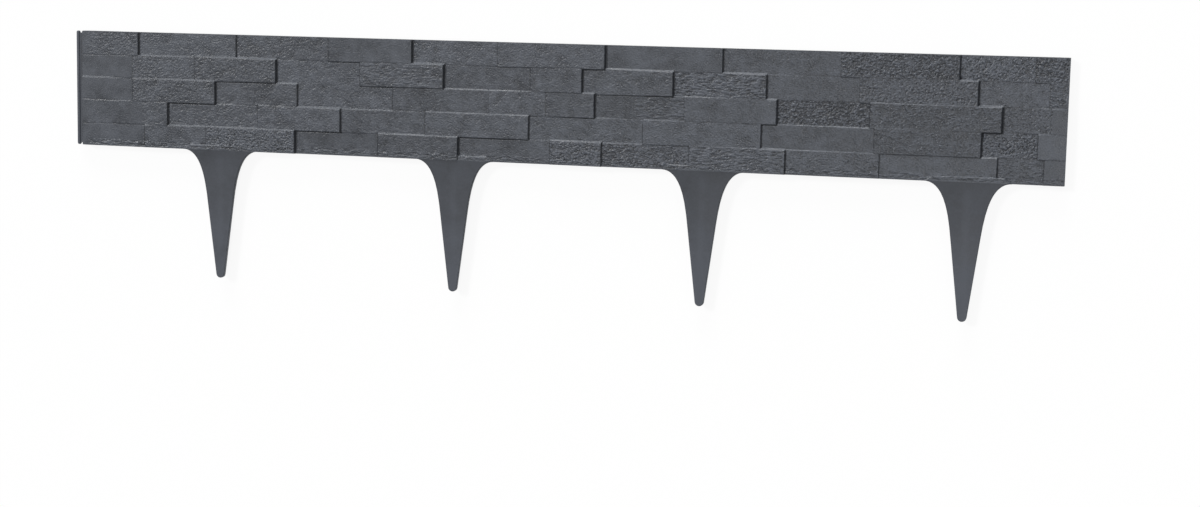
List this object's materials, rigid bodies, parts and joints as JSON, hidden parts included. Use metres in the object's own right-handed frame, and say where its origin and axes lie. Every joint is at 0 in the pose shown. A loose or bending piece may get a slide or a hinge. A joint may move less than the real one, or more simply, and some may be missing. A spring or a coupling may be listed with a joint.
{
  "type": "lawn edging panel",
  "caption": "Long low lawn-edging panel with a stone-wall relief on its face, ground spikes below, and a rod and socket on its ends for joining panels.",
  "frame": {"origin": "centre of the bounding box at the level of the back plane, which the panel lies on", "axes": "+X along the panel from the rod to the socket, +Y from the spike tips to the top edge, +Z out of the stone face"},
  "size_m": [0.78, 0.1932, 0.0099],
  "materials": {
    "panel_plastic": "matte anthracite, stone-textured on the face and smooth on the spikes"
  },
  "bodies": {
    "root": {"edging_panel": "panel_plastic"}
  },
  "joints": []
}
